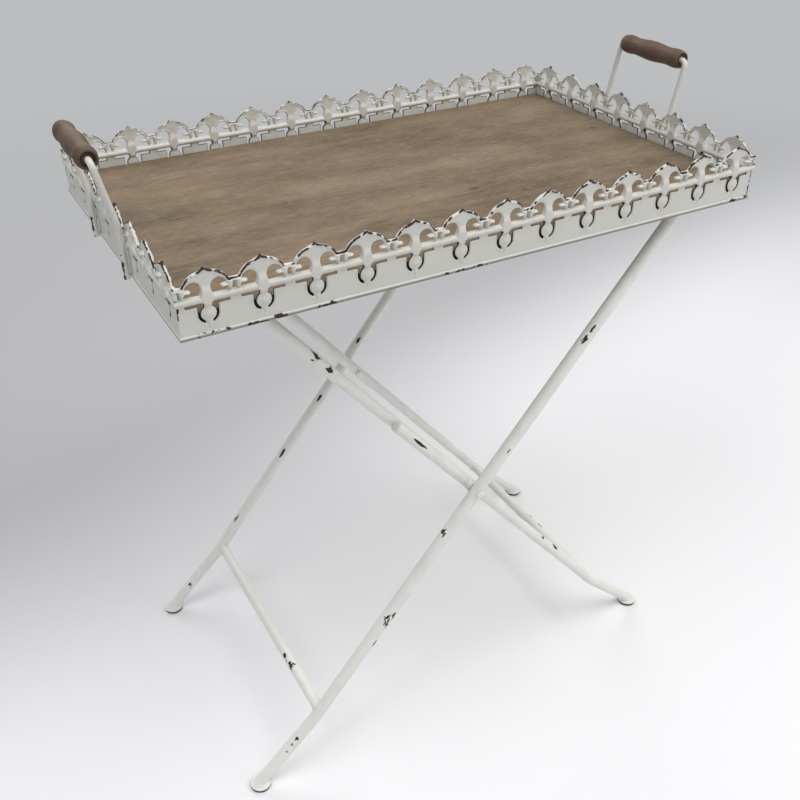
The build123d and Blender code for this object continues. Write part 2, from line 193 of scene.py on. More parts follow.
# The camera: place, directions to its right, up and ahead, and lens and picture width in millimetres
CAMERA_PLACE = (-0.4837, -0.8581, 1.0139)
CAMERA_RIGHT = (0.872720, -0.488211, -0.003235)
CAMERA_UP = (0.271630, 0.480035, 0.834136)
CAMERA_AHEAD = (0.405681, 0.728846, -0.551549)
LENS, SENSOR = 42.849, 36.0

# Soft lamps: place, what each is aimed at, width, power and colour
TABLE_MIDDLE, LEFT_FLOOR = (0.0, 0.0, 0.3), (-0.9, -0.2, 0.0)
LAMPS = {
    "key": ((0.8, -1.0, 2.9), TABLE_MIDDLE, 2.1, 46.0, (1.0, 0.995, 0.98)),
    "near_left": ((-1.2, -0.3, 2.3), LEFT_FLOOR, 1.4, 18.0, (0.98, 0.99, 1.0)),
    "front_right": ((1.6, -1.6, 1.4), TABLE_MIDDLE, 1.2, 8.0, (1.0, 0.995, 0.98)),
    "back": ((0.2, 2.6, 2.2), TABLE_MIDDLE, 1.8, 28.0, (1.0, 1.0, 1.0)),
    "right": ((2.4, 0.2, 1.8), TABLE_MIDDLE, 1.6, 5.0, (1.0, 0.99, 0.97)),
}
SKY_COLOUR, SKY_LIGHT, SKY_SEEN = (0.93, 0.945, 0.97), 0.33, 0.54

# The floor: half its width and lines across it, where painted shade darkens it towards the back and where it
# fades out
FLOOR_REACH, FLOOR_LINES = 14.0, 9
BACKWARDS = (-0.385, 1.361, 0.0)
DARKENS_FROM, DARKENS_TO, FADES_FROM, FADES_TO = 0.2, 0.95, 1.1, 3.0


def sized(name, description, millimetres):
    """A length that a user can change."""
    return FloatProperty(name=name, description=description, default=millimetres * MM, unit="LENGTH")


def coloured(name, description, *default):
    """A colour that a user can change."""
    return FloatVectorProperty(name=name, description=description, default=default, subtype="COLOR")


class GallerySizes(bpy.types.PropertyGroup):
    """Sizes of the pierced gallery round the tray."""
    arch_width: sized("Arch width", "Width of one arch, about", 48)
    long_margin: sized("Long margin", "From a long wall's corner to its first arch", 0.5)
    short_margin: sized("Short margin", "From a short wall's corner to its first arch", 2.7)
    plate: sized("Plate", "Thickness of the pierced plate", 2.4)
    hem: sized("Hem", "Diameter of the rolled hem", 5)
    bar: sized("Bar", "Diameter of the waist bar", 6.2)
    bar_height: sized("Bar height", "Middle of the waist bar above the hem's underside", 34)
    rim: sized("Rim", "How far the rim of an arch stands proud", 0.7)
    columns: IntProperty(name="Columns", description="Columns of faces in one arch", default=56)


class GripSizes(bpy.types.PropertyGroup):
    """Sizes of the turned wooden grips."""
    length: sized("Length", "Length of a grip", 96)
    barrel: sized("Barrel", "Diameter at the middle", 22)
    waist: sized("Waist", "Diameter at the waists", 19)
    bead: sized("Bead", "Diameter of the beads", 20.8)
    bore: sized("Bore", "Diameter of the hole for the wire", 6.2)


class FinishColours(bpy.types.PropertyGroup):
    """Colours of the paint, the iron under it, the woods, the screws, the pads and the floor."""
    # The gallery's cream and the stand's are copies of one paint: the gallery's set darker as painted shade
    # on the walls, the stand's set lighter as painted light on its tubes and fittings
    cream: coloured("Cream paint", "Fresh face of the paint", 0.62, 0.613, 0.57)
    lit_tube_cream: coloured("Cream paint, tubes", "Fresh face of the paint on the stand", 0.82, 0.815, 0.775)
    grime: coloured("Aged paint", "Where the paint is rubbed and aged", 0.55, 0.53, 0.46)
    # Bare iron also darkens the cut faces, the slots and the hem's underside as painted shade
    iron: coloured("Bare iron", "What the chips show", 0.018, 0.011, 0.010)
    # Patina also blotches the undersides of the waist bar and hem as painted shade
    patina: coloured("Patina", "Blotches on the inner sides", 0.56, 0.54, 0.485)
    rust: coloured("Rust", "Brown in the chips", 0.05, 0.021, 0.016)
    board_ochre: coloured("Board, ochre", "Yellower patches of the wooden floor", 0.26, 0.17, 0.09)
    board_pale: coloured("Board, pale", "Light streaks of the wooden floor", 0.25, 0.188, 0.126)
    board_dark: coloured("Board, dark", "Dark streaks of the wooden floor", 0.098, 0.07, 0.044)
    board_scuff: coloured("Board, scuffed", "Pale scuffs of the wooden floor", 0.38, 0.315, 0.23)
    board_knot: coloured("Board, knots", "Knots and pores of the wooden floor", 0.05, 0.036, 0.024)
    grip_dark: coloured("Dark grip", "Stain of the right grip", 0.112, 0.07, 0.051)
    grip_pale: coloured("Pale grip", "Stain of the left grip", 0.096, 0.062, 0.037)
    zinc_dark: coloured("Zinc, dark", "Dull spots of the screws", 0.32, 0.32, 0.31)
    zinc_pale: coloured("Zinc, pale", "Bright spots of the screws", 0.5, 0.5, 0.48)
    rubber_dark: coloured("Rubber, dark", "Pits of the foot pads", 0.012, 0.012, 0.013)
    rubber_pale: coloured("Rubber, pale", "Dust on the foot pads", 0.03, 0.03, 0.031)
    # Painted shade in the gap between the wooden floor and the walls
    gap_shade: coloured("Shaded_gap", "Dirt along the edges of the wooden floor", 0.02, 0.015, 0.01)
    floor: coloured("Studio floor", "Colour of the floor", 0.87, 0.87, 0.885)


class Worked:
    """A socket of a node tree, with arithmetic: each sum or product adds a Math node."""

    def __init__(self, nodes, socket):
        self.nodes = nodes
        self.socket = socket

    def maths(self, operation, first, second=0.0, clamp=False):
        """One Math node on two sockets or numbers."""
        return self.nodes.node("ShaderNodeMath", {"operation": operation, "use_clamp": clamp},
                               {0: first, 1: second})

    def __add__(self, other):
        return self.maths("ADD", self, other)

    def __sub__(self, other):
        return self.maths("SUBTRACT", self, other)

    def __rsub__(self, other):
        return self.maths("SUBTRACT", other, self)

    def __mul__(self, other):
        return self.maths("MULTIPLY", self, other)

    __radd__ = __add__
    __rmul__ = __mul__

    def larger(self, other):
        return self.maths("MAXIMUM", self, other)

    def clamped(self):
        return self.maths("ADD", self, 0.0, clamp=True)


class Nodes:
    """A node tree that is being made."""

    def __init__(self, tree):
        self.tree = tree

    def node(self, kind, settings=None, inputs=None, output=0):
        """Adds a node: its settings first, then the values or links of its sockets. Gives one output."""
        made = self.tree.nodes.new(kind)
        for key, value in (settings or {}).items():
            setattr(made, key, value)
        for key, value in (inputs or {}).items():
            self.feed(made.inputs[key], value)
        return Worked(self, made.outputs[output])

    def feed(self, socket, value):
        """Links a socket, or gives it a value. A colour gets its fourth part."""
        if isinstance(value, Worked):
            self.tree.links.new(value.socket, socket)
        elif socket.type == "RGBA":
            socket.default_value = (*value, 1.0)
        else:
            socket.default_value = value


class Finish(Nodes):
    """A procedural material that is being made, around one Principled shader."""

    def __init__(self, name):
        self.material = bpy.data.materials.new(name)
        self.material.use_nodes = True
        super().__init__(self.material.node_tree)
        self.shader = self.tree.nodes["Principled BSDF"]
        self.place = self.node("ShaderNodeTexCoord", output="Object")

    def parts(self, vector):
        """The three parts of a vector."""
        return [self.node("ShaderNodeSeparateXYZ", None, {0: vector}, part) for part in range(3)]

    def eased(self, value, start, stop, low=0.0, high=1.0):
        """Goes from low to high, without corners, while the value goes from start to stop."""
        return self.node("ShaderNodeMapRange", {"interpolation_type": "SMOOTHSTEP"},
                         {"Value": value, "From Min": start, "From Max": stop, "To Min": low, "To Max": high})

    def noise(self, place, scale, detail=2.0, roughness=0.5):
        return self.node("ShaderNodeTexNoise", None,
                         {"Vector": place, "Scale": scale, "Detail": detail, "Roughness": roughness})

    def mapped(self, place, stretch, turn=(0.0, 0.0, 0.0), shift=(0.0, 0.0, 0.0)):
        """The pattern's own coordinates, after the pattern is stretched, turned and shifted."""
        return self.node("ShaderNodeMapping", {"vector_type": "TEXTURE"},
                         {"Vector": place, "Rotation": turn, "Scale": stretch, "Location": shift}, "Vector")

    def fibres(self, place, stretch, detail=2.0, roughness=0.5, shift=(0.0, 0.0, 0.0), scale=1.5):
        """A noise that is drawn out by its own length along each axis."""
        return self.noise(self.mapped(place, stretch, shift=shift), scale, detail, roughness)

    def mixed(self, first, second, share):
        """Two colours in a share: 0 gives the first, 1 the second."""
        return self.node("ShaderNodeMix", {"data_type": "RGBA"}, {0: share, 6: first, 7: second}, 2)

    def vector(self, operation, first, second=None, output=0, scale=None):
        """Vector arithmetic. The second vector and the scale are given where the operation has them."""
        inputs = {0: first, 1: second, "Scale": scale}
        given = {key: value for key, value in inputs.items() if value is not None}
        return self.node("ShaderNodeVectorMath", {"operation": operation}, given, output)

    def length(self, vector):
        return self.vector("LENGTH", vector, output="Value")

    def relief(self, height, distance, strength):
        """Raises and sinks the surface's shading by a height."""
        inputs = {"Height": height, "Distance": distance, "Strength": strength}
        self.feed(self.shader.inputs["Normal"], self.node("ShaderNodeBump", None, inputs, "Normal"))

    def finished(self, **sockets):
        """Feeds the shader's sockets, which are named with underscores, and gives the material."""
        for name, value in sockets.items():
            self.feed(self.shader.inputs[name.replace("_", " ")], value)
        return self.material


def scaled(colour, factor):
    """A colour made darker or lighter by a factor."""
    return tuple(factor * part for part in colour)


def flaked_paint(name, colours, limit, lean=0.0, marks=(), edge_share=0.3, fresh=None):
    """Cream paint over dark iron. It is gone where two noises and the worn edges add up past a limit, and at
    the marks, each a place, a direction, half a length and half a width. The attribute on the points holds
    the wear of edges, painted shade that darkens cut faces, slots and the hem's underside towards iron, and
    the soiling of inner sides, which under the bar and hem lays patina blotches as painted shade."""
    finish = Finish(name)
    place = finish.mapped(finish.place, (2.4, 1.0, 1.0), turn=(0.0, lean, 0.0)) if lean else finish.place
    age_and_shade = finish.node("ShaderNodeAttribute", {"attribute_name": "age_and_shade"}, output="Vector")
    wear, painted_shade, patina_and_shade = finish.parts(age_and_shade)
    stretches = finish.noise(place, 16.0)
    flakes = finish.noise(place, 190.0, detail=2.5)
    grit = finish.noise(finish.place, 900.0)
    loss = flakes + grit * 0.12 + stretches * 0.35 + wear * edge_share - limit
    bare = (loss * 26.0).clamped()
    for spot, direction, length, width in marks:
        offset = finish.vector("SUBTRACT", finish.place, spot)
        along = finish.vector("DOT_PRODUCT", offset, direction, output="Value")
        drawn_in = finish.vector("SCALE", direction, scale=along * (width / length - 1.0))
        ragged = (flakes - 0.5) * (5.0 * width) + 0.8 * width
        inside = ragged - finish.length(finish.vector("ADD", offset, drawn_in))
        bare = bare.larger((inside * (6.0 / width)).clamped())
    # Painted shade: cut faces, slots and the hem's underside take the iron colour
    bare = bare.larger(painted_shade)
    soil = finish.noise(finish.place, 38.0, detail=4.0, roughness=0.65)
    blotch = finish.noise(finish.place, 130.0, detail=3.0, roughness=0.6)
    paint = colours.cream if fresh is None else fresh
    paint = finish.mixed(paint, colours.grime, (soil * 1.5 - 0.62).clamped() * 0.5)
    paint = finish.mixed(paint, colours.grime, (loss * 6.0 + 0.5).clamped() * 0.5)
    # Patina blotches on the inner sides; under the bar and hem they are painted shade
    paint = finish.mixed(paint, colours.patina, ((blotch * 4.0 - 2.4 + patina_and_shade).clamped() * patina_and_shade).clamped())
    metal = finish.mixed(colours.iron, colours.rust, (grit * 2.6 - 0.95).clamped())
    finish.relief(grit * 0.12 + soil * 0.35 - bare, 0.35 * MM, 0.6)
    colour = finish.mixed(paint, metal, bare)
    return finish.finished(Base_Color=colour, Roughness=0.46 + bare * 0.3 + soil * 0.08)


def streaked_board(colours):
    """Weathered board: fine grain along X under broad blotches, ochre and grey, with pale scuffs, a few small
    knots that the grain flows round, and painted shade along its edges where they meet the walls."""
    finish = Finish("weathered_board")
    bend = finish.noise(finish.place, 5.0)
    swayed = finish.vector("ADD", finish.place, finish.vector("SCALE", (0.0, 0.016, 0.0), scale=bend))

    def from_knot(spot, flattened):
        return finish.vector("MULTIPLY", finish.vector("SUBTRACT", finish.place, spot), (flattened, 1.0, 0.0))

    for spot, radius in BOARD_KNOTS:
        offset = from_knot(spot, 0.55)
        push = finish.eased(finish.length(offset), 0.0, 4 * radius, radius * 0.9, 0.0)
        pushed = finish.vector("SCALE", finish.vector("NORMALIZE", offset), scale=push)
        swayed = finish.vector("SUBTRACT", swayed, pushed)
    blotch = finish.fibres(swayed, (0.2, 0.09, 0.09), 6.0, 0.68)
    broad = finish.fibres(swayed, (0.3, 0.03, 0.03), 5.0, 0.65)
    streak = finish.fibres(swayed, (0.1, 0.008, 0.008), 5.0, 0.7)
    grain = finish.fibres(swayed, (0.02, 0.0014, 0.0014), 3.0, 0.6)
    mottle = finish.fibres(swayed, (0.012, 0.005, 0.005), 4.0, 0.7)
    ochre = finish.fibres(swayed, (0.22, 0.05, 0.05), 4.0, shift=(0.3, 0.2, 0.1))
    scuff = finish.fibres(swayed, (0.03, 0.0025, 0.0025), 3.0, 0.6, shift=(0.0, 0.4, 0.0))
    pores = finish.fibres(swayed, (0.014, 0.0013, 0.0013), shift=(0.1, 0.0, 0.0))
    tone = blotch * 2.2 + broad * 0.9 + streak * 0.6 + grain * 0.3 + mottle * 0.6 - 1.8
    colour = finish.mixed(colours.board_dark, colours.board_pale, tone.clamped())
    colour = finish.mixed(colour, colours.board_ochre, (ochre * 4.0 - 2.0).clamped() * 0.4)
    colour = finish.mixed(colour, colours.board_scuff, (scuff * 7.0 - 4.0).clamped() * 0.6)
    colour = finish.mixed(colour, colours.board_knot, (pores * 7.0 - 4.0).clamped() * 0.5)
    for spot, radius in BOARD_KNOTS:
        reach = finish.length(from_knot(spot, 0.5)) + (streak - 0.5) * 0.006
        inside = finish.eased(reach, radius, 0.1 * radius, 0.0, 0.75)
        colour = finish.mixed(colour, colours.board_knot, inside)
    # Painted shade in the gap along the board's edges, where it meets the walls
    outwards = finish.vector("SUBTRACT", finish.vector("ABSOLUTE", finish.place), tuple(BOARD[1]))
    east, north, _ = finish.parts(outwards)
    edge = finish.eased(east.larger(north), -2.4 * MM, -0.7 * MM)
    colour = finish.mixed(colour, colours.gap_shade, edge * 0.85)
    finish.relief(grain * 0.6 + streak * 0.4, 0.25 * MM, 0.5)
    return finish.finished(Base_Color=colour, Roughness=0.7 + grain * 0.15, Specular_IOR_Level=0.2)


def turned_wood(name, stain):
    """Stained turned wood: the grain runs along the grip, with short dark pores."""
    finish = Finish(name)
    grain = finish.fibres(finish.place, (0.004, 0.05, 0.004), 4.0, 0.65, scale=1.6)
    pores = finish.fibres(finish.place, (0.0014, 0.009, 0.0014), scale=1.6)
    cloud = finish.noise(finish.place, 60.0)
    light = (grain * 1.2 + cloud * 0.6 - 0.4).clamped()
    colour = finish.mixed(scaled(stain, 0.55), scaled(stain, 1.5), light)
    colour = finish.mixed(colour, scaled(stain, 0.4), (pores * 7.0 - 4.0).clamped() * 0.6)
    finish.relief(grain * 0.6 + pores * 0.4, 0.2 * MM, 0.6)
    return finish.finished(Base_Color=colour, Roughness=0.52 + grain * 0.16, Specular_IOR_Level=0.25)


def gritty(name, scale, dark, pale, smooth, rough, metallic):
    """A plain finish whose colour and roughness go with one fine noise."""
    finish = Finish(name)
    grit = finish.noise(finish.place, scale)
    roughness = smooth + grit * (rough - smooth)
    return finish.finished(Base_Color=finish.mixed(dark, pale, grit), Roughness=roughness, Metallic=metallic)


def grid_faces(rows, columns, ring_rows=False, ring_columns=False):
    """Faces of a grid of points kept row by row. A ring joins its last line of points to its first."""
    index = np.arange(rows * columns).reshape(rows, columns)
    if ring_rows:
        index = np.vstack([index, index[:1]])
    if ring_columns:
        index = np.hstack([index, index[:, :1]])
    return np.stack([index[:-1, :-1], index[:-1, 1:], index[1:, 1:], index[1:, :-1]], axis=-1).reshape(-1, 4)


def joined(surfaces):
    """Several surfaces, each its points and its faces, as one."""
    first = np.cumsum([0] + [len(points) for points, _ in surfaces[:-1]])
    return (np.concatenate([points for points, _ in surfaces]),
            np.concatenate([faces + start for (_, faces), start in zip(surfaces, first)]))


def turned_surface(start, axis, along, away, sides=48):
    """A turned surface: every place of the profile, so far along the axis and so far away from it, goes round
    the axis in a circle."""
    axis = np.array(axis, float)
    side = np.cross(axis, UPRIGHT if abs(axis[2]) < 0.9 else ALONG)
    side /= np.linalg.norm(side)
    turn = np.linspace(0, FULL_TURN, sides, endpoint=False)[:, None]
    ring = np.cos(turn) * side + np.sin(turn) * np.cross(axis, side)
    along, away = (np.asarray(places)[:, None, None] for places in (along, away))
    points = np.array(start) + along * axis + away * ring
    return points.reshape(-1, 3), grid_faces(len(along), sides, ring_columns=True)


def bead_along(curve, thick, sides=10):
    """A round bead along a closed curve: a circle square to the curve at every place, one side of it away
    from the curve's middle."""
    ahead = np.roll(curve, -1, axis=0) - np.roll(curve, 1, axis=0)
    ahead /= np.linalg.norm(ahead, axis=1)[:, None]
    away = curve - curve.mean(axis=0)
    away -= (away * ahead).sum(axis=1)[:, None] * ahead
    away /= np.linalg.norm(away, axis=1)[:, None]
    over = np.cross(ahead, away)
    turn = np.linspace(0, FULL_TURN, sides, endpoint=False)[:, None]
    points = curve[:, None] + thick * (np.cos(turn) * away[:, None] + np.sin(turn) * over[:, None])
    return points.reshape(-1, 3), grid_faces(len(curve), sides, ring_rows=True, ring_columns=True)


def smooth_step(value, start, stop):
    """Rises from 0 to 1 between start and stop, by 3 t squared less 2 t cubed."""
    share = np.clip((value - start) / (stop - start), 0, 1)
    return share * share * (3 - 2 * share)


def add_piece(name, surface, body, material, replaced=(), age_and_shade=None, crease=PLATE_CREASE,
              recalculate=True):
    """Puts a surface into a mesh object at the origin, welds its seams and poles, and lets it ride on a body.
    A surface whose faces all point outwards already isn't recalculated."""
    points, faces = surface
    mesh = bpy.data.meshes.new(name)
    mesh.vertices.add(len(points))
    mesh.vertices.foreach_set("co", np.asarray(points, np.float32).ravel())
    mesh.loops.add(faces.size)
    mesh.loops.foreach_set("vertex_index", faces.astype(np.int32).ravel())
    mesh.polygons.add(len(faces))
    mesh.polygons.foreach_set("loop_start", np.arange(0, faces.size, 4, dtype=np.int32))
    mesh.update(calc_edges=True)
    if age_and_shade is not None:
        kept = mesh.attributes.new("age_and_shade", "FLOAT_VECTOR", "POINT")
        kept.data.foreach_set("vector", np.asarray(age_and_shade, np.float32).ravel())
    mended = bmesh.new()
    mended.from_mesh(mesh)
    bmesh.ops.remove_doubles(mended, verts=mended.verts, dist=0.004 * MM)
    bmesh.ops.dissolve_degenerate(mended, edges=mended.edges, dist=0.002 * MM)
    if recalculate:
        bmesh.ops.recalc_face_normals(mended, faces=mended.faces)
    mended.to_mesh(mesh)
    mended.free()
    mesh.polygons.foreach_set("use_smooth", np.ones(len(mesh.polygons), bool))
    mesh.set_sharp_from_angle(angle=math.radians(crease))
    mesh.materials.append(material)
    piece = bpy.data.objects.new(name, mesh)
    bpy.context.scene.collection.objects.link(piece)
    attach(piece, body)
    if replaced:
        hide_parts(*replaced)
    return piece


def paint_nodes(names, material):
    """Gives CAD pieces, whose shapes are right as they are, a finished material."""
    for name in names:
        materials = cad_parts[name].data.materials
        materials.clear()
        materials.append(material)


def circle_through(first, second, third):
    """Middle and radius of the circle through three points."""
    (ax, az), (bx, bz), (cx, cz) = first, second, third
    twice = 2 * (ax * (bz - cz) + bx * (cz - az) + cx * (az - bz))
    squares = [ax * ax + az * az, bx * bx + bz * bz, cx * cx + cz * cz]
    x = (squares[0] * (bz - cz) + squares[1] * (cz - az) + squares[2] * (az - bz)) / twice
    z = (squares[0] * (cx - bx) + squares[1] * (ax - cx) + squares[2] * (bx - ax)) / twice
    return (x, z), math.hypot(ax - x, az - z)


def arch_distance(across, up, pitch):
    """Signed distance to the top outline, below it negative: a bulging arc from the foot to the shoulder, a
    hollow arc from there to the tip, and a flat valley between arches. Millimetres."""
    height = WALL_HEIGHT / MM
    tip, hollow, shoulder, bulge, foot = (
        (share[0] * pitch, share[1] * height)
        for share in (ARCH_TIP_SHARES, ARCH_HOLLOW_SHARES, ARCH_SHOULDER_SHARES, ARCH_BULGE_SHARES,
                      ARCH_FOOT_SHARES))
    (bulge_x, bulge_z), bulge_radius = circle_through(foot, bulge, shoulder)
    (hollow_x, hollow_z), hollow_radius = circle_through(shoulder, hollow, tip)
    outside_bulge = np.hypot(across - bulge_x, up - bulge_z) - bulge_radius
    outside_hollow = hollow_radius - np.hypot(across - hollow_x, up - hollow_z)
    arch = np.where(across < shoulder[0], outside_hollow, outside_bulge)
    return np.minimum(arch, up - foot[1])


def petal_distance(across, up):
    """Signed distance to the leaf tip that turns into a window: a bar that tapers from root to tip."""
    root = np.array(PETAL_ROOT)
    run = np.array(PETAL_TIP) - root
    share = np.clip(((across - root[0]) * run[0] + (up - root[1]) * run[1]) / (run @ run), 0, 1)
    radius = PETAL_ROOT_RADIUS + (PETAL_TIP_RADIUS - PETAL_ROOT_RADIUS) * share
    return np.hypot(across - root[0] - share * run[0], up - root[1] - share * run[1]) - radius


def below_spring(up):
    """Share of the way down from the windows' spring to their base."""
    return np.clip((WINDOW_SPRING - up) / (WINDOW_SPRING - WINDOW_BASE), 0, 1)


def stem_edge(up):
    """Half width of the stem at a height: widest on the bar, narrowing by a square to its neck."""
    return STEM_HALF + STEM_FLARE * below_spring(up) ** 2


def openings_distance(across, up, pitch):
    """Signed distances to the openings, negative inside: windows beside the stem without their petals, the
    slot between two leaves of a bud, and the slot under the bar with its crescent round the medallion."""
    drop = below_spring(up) ** 2
    outer = WINDOW_MIDDLE + WINDOW_HALF + (BUD_FOOT - WINDOW_MIDDLE - WINDOW_HALF) * drop
    oval = np.hypot((across - WINDOW_MIDDLE) / WINDOW_HALF, (up - WINDOW_SPRING) / WINDOW_RISE)
    window = np.where(up > WINDOW_SPRING, (oval - 1) * WINDOW_RISE,
                      np.maximum(stem_edge(up) - across, across - outer))
    window = np.maximum.reduce([window, WINDOW_BASE - up, -petal_distance(across, up)])
    from_valley = pitch / 2 - across
    half = BUD_SLOT_HALF_TOP + (BUD_SLOT_HALF_BASE - BUD_SLOT_HALF_TOP) * drop
    bud = np.maximum.reduce([from_valley - half, up - BUD_SLOT_TOP, WINDOW_BASE - up])
    bud = np.where(from_valley < 0, 1.0, bud)
    radius = np.hypot(across, up - MEDALLION_Z)
    outside = np.where(up < MEDALLION_Z, radius, across) - CRESCENT_RADIUS
    crescent = np.maximum.reduce(
        [MEDALLION_RADIUS - radius, outside, up - SLOT_TOP, CRESCENT_FOOT_HALF - across])
    slot = np.maximum.reduce([SLOT_BASE - up, up - SLOT_TOP, across - SLOT_END, NECK_HALF - across])
    return window, bud, np.minimum(crescent, slot)


def metal_distance(across, up, pitch):
    """Signed distance to the metal's edge, negative in the metal."""
    openings = np.minimum.reduce(openings_distance(across, up, pitch))
    return np.maximum(arch_distance(across, up, pitch), -openings)


def hump(distance, middle, half):
    """A rounded ridge, a parabola of 1 at its middle that ends half a width to either side."""
    return np.clip(1 - ((distance - middle) / half) ** 2, 0, 1)


def gallery_relief(across, up, pitch, sizes, inner=False):
    """How far the cast face stands out from the plate, in millimetres: rims, leaves, strap and medallion,
    with every edge eased. Rims are humps along an edge, leaves and petals rise by a square root, the
    medallion is a paraboloid with a ring sunk into it. The inner side is flatter, and has a raised brow over
    each window."""
    deep = -arch_distance(across, up, pitch)
    depth = np.clip(-metal_distance(across, up, pitch), 0, None)
    window, _, lower = openings_distance(across, up, pitch)
    rim = sizes.rim / MM * hump(deep, 1.0, 1.2) * (up > LIP_BASE)
    over_lip = smooth_step(up, LIP_BASE - 0.5, LIP_BASE + 0.6)
    lip = LIP_RELIEF * smooth_step(across, LIP_START, LIP_END) * over_lip
    in_leaf = (across > LEAF_START) * (up > WINDOW_BASE) * (up < LIP_BASE + 0.6)
    leaf = LEAF_RELIEF * np.sqrt(np.clip(depth / LEAF_RELIEF, 0, 1)) * in_leaf
    petal = LEAF_RELIEF * np.sqrt(np.clip(-petal_distance(across, up) / 1.5, 0, 1))
    strap_top = (WALL_PROUD - sizes.plate / 2) / MM - 0.03
    stem = np.where(up > WINDOW_BASE, stem_edge(up), STEM_HALF + STEM_FLARE)
    rising = smooth_step(up, STRAP_FOOT, STRAP_SWELL) * (1 - smooth_step(up, STRAP_SHRINK, STRAP_HEAD))
    strap = strap_top * smooth_step(stem - across, -0.1, 0.9) * rising
    radius = np.hypot(across, up - MEDALLION_Z)
    dome = DOME_RIM + DOME_RISE * (1 - (radius / MEDALLION_RADIUS) ** 2)
    dome = np.where(radius < MEDALLION_RADIUS + 0.2, dome, 0)
    dome = np.clip(dome - DOME_RING * np.exp(-((radius - RING_RADIUS) / RING_WIDTH) ** 2), 0, None)
    if inner:
        brow = BROW_RELIEF * hump(window, 0.8, 0.8) * (up > WINDOW_SPRING - 1.5)
        raised = np.maximum.reduce([0.6 * rim, 0.6 * lip, 0.6 * leaf, 0.6 * petal, strap, 0.35 * dome, brow])
    else:
        brim = BRIM_RELIEF * hump(lower, 0.8, 0.8) * (up < SLOT_BASE + 0.2) * (radius > CRESCENT_RADIUS)
        half = np.maximum(POINT_HALF * np.clip((up - POINT_BASE) / (POINT_TOP - POINT_BASE), 0, 1), 0.01)
        point = POINT_RELIEF * np.clip(1 - across / half, 0, 1) * (up > POINT_BASE) * (up < POINT_HEAD)
        raised = np.maximum.reduce([rim, lip, leaf, petal, strap, dome, brim, point])
    return raised - EDGE_FALL * (1 - smooth_step(depth, 0, EDGE_WIDTH))


def wall_run(turns, sizes):
    """Length and corner margin of the wall so many quarter turns from the front, in millimetres."""
    if turns % 2:
        return 2 * HALF_WIDTH / MM, sizes.short_margin / MM
    return 2 * HALF_LENGTH / MM, sizes.long_margin / MM


def arch_row(length, margin, sizes):
    """Number and pitch of the whole arches between a wall's corner margins."""
    count = round((length - 2 * margin) / (sizes.arch_width / MM))
    return count, (length - 2 * margin) / count


def snapped(x, z, edge, reach):
    """Cells of a grid whose middle is in the metal, and the grid with the points round each gap moved, no
    further than their reach, by Newton's steps along the distance's slope onto its edge."""
    kept = edge((x[:-1, :-1] + x[1:, 1:]) / 2, (z[:-1, :-1] + z[1:, 1:]) / 2) < 0
    cells = np.zeros((2, kept.shape[0] + 2, kept.shape[1] + 2))
    cells[:, 1:-1, 1:-1] = kept, ~kept
    cells[1, -1, 1:-1] = 1
    touching = cells[:, :-1, :-1] + cells[:, 1:, :-1] + cells[:, :-1, 1:] + cells[:, 1:, 1:]
    moving = (touching > 0).all(axis=0)
    step = 0.02
    home_x, home_z = x, z
    for _ in range(4):
        value = edge(x, z)
        slope_x = (edge(x + step, z) - edge(x - step, z)) / (2 * step)
        slope_z = (edge(x, z + step) - edge(x, z - step)) / (2 * step)
        slope_x[:, [0, -1]] = 0
        steep = np.maximum(slope_x ** 2 + slope_z ** 2, 0.05)
        x = np.where(moving, np.clip(x - value * slope_x / steep, home_x - reach, home_x + reach), x)
        z = np.where(moving, np.clip(z - value * slope_z / steep, home_z - reach, home_z + reach), z)
    return kept, x, z


def fading(distance, solid, gone):
    """Is 1 up to one distance and falls in a straight line to 0 at another."""
    return np.clip((gone - distance) / (gone - solid), 0, 1)


def wall_age(x, z, across, pitch, length):
    """Wear, painted shade and soiling of a wall's layers of points, front to back. Wear falls off in straight
    lines from the outline, from every edge and from the wall's ends, with a bell at each tip. The back has a
    thin dark line along the outline, a worn edge and painted shade, and painted shade round its slots; the
    cut faces below the bar are darkened by painted shade."""
    into = -arch_distance(across, z, pitch)
    to_edge = np.clip(-metal_distance(across, z, pitch), 0, None)
    outline = fading(into, 1.44, 2.34) * (z > OUTLINE_BASE)
    tip = 0.55 * np.exp(-(across / 2.6) ** 2) * fading(into, 0, 4.0) * (z > TIP_BASE)
    bare_edge = 0.35 * fading(to_edge, 0, 0.7)
    corner = 0.9 * fading(length / 2 - np.abs(x), 0, 1.3) * (z < CORNER_TOP)
    # A thin dark line along the back's outline: a worn bare edge and painted shade at the rim
    thin_line = 1.3 * fading(into, 0.48, 1.28) * (z > OUTLINE_BASE)
    # Painted shade: the cut faces below the bar are darkened towards bare iron
    cut = np.where(z < CUT_TOP, 1.0, 0.0)
    # Painted shade round the slots on the back
    slot_shade = 0.85 * fading(to_edge, 0.21, 0.91) * cut
    nothing = np.zeros_like(x)
    layers = (
        (np.maximum.reduce([outline, bare_edge, corner]) + tip, nothing, nothing),
        (0.7 * outline + tip, cut, nothing),
        (0.4 * outline + tip, cut, nothing),
        (np.maximum(thin_line, corner), slot_shade, nothing + 1.0),
    )
    return np.concatenate([np.stack([part.ravel() for part in layer], axis=-1) for layer in layers])


